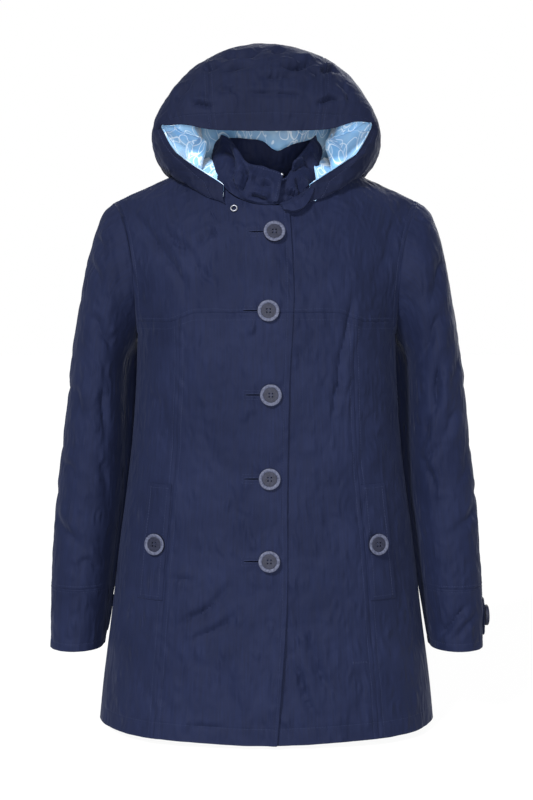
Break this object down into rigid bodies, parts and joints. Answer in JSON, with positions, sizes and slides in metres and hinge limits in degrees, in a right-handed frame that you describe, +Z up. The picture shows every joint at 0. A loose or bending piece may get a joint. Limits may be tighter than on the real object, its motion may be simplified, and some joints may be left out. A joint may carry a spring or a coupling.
{
  "type": "hooded raincoat",
  "caption": "Navy single-breasted raincoat with a lined three-panel hood, stand collar, front yoke, princess seams, buttoned pocket welts and cuff tabs.",
  "frame": {"origin": "middle of the neck opening, level with the points where neck and shoulders meet", "axes": "+Z up along the wearer, the front faces -Y, the wearer's right is at -X"},
  "size_m": [0.5932, 0.3136, 0.9077],
  "materials": {
    "navy_cloth": "matte showerproof cotton blend, plain weave",
    "sky_lining": "smooth printed lining, sky blue with white line loops",
    "slate_button": "satin slate resin with a paler rim",
    "steel_trim": "satin nickel plate"
  },
  "bodies": {
    "root": {"front_yoke_right": "navy_cloth", "front_yoke_left": "navy_cloth", "front_centre_right": "navy_cloth", "front_centre_left": "navy_cloth", "front_side_right": "navy_cloth", "front_side_left": "navy_cloth", "back": "navy_cloth", "sleeve_right": "navy_cloth", "sleeve_left": "navy_cloth", "cuff_right": "navy_cloth", "cuff_left": "navy_cloth", "cuff_tab_right": "navy_cloth", "cuff_tab_left": "navy_cloth", "collar": "navy_cloth", "hood_right": "navy_cloth", "hood_centre": "navy_cloth", "hood_left": "navy_cloth", "pocket_welt_right": "navy_cloth", "pocket_welt_left": "navy_cloth", "hood_lining": "sky_lining", "button_front_1": "slate_button", "button_front_2": "slate_button", "button_front_3": "slate_button", "button_front_4": "slate_button", "button_front_5": "slate_button", "button_pocket_right": "slate_button", "button_pocket_left": "slate_button", "button_cuff_right": "slate_button", "button_cuff_left": "slate_button", "snap_ring": "steel_trim", "collar_stud": "steel_trim"}
  },
  "joints": []
}
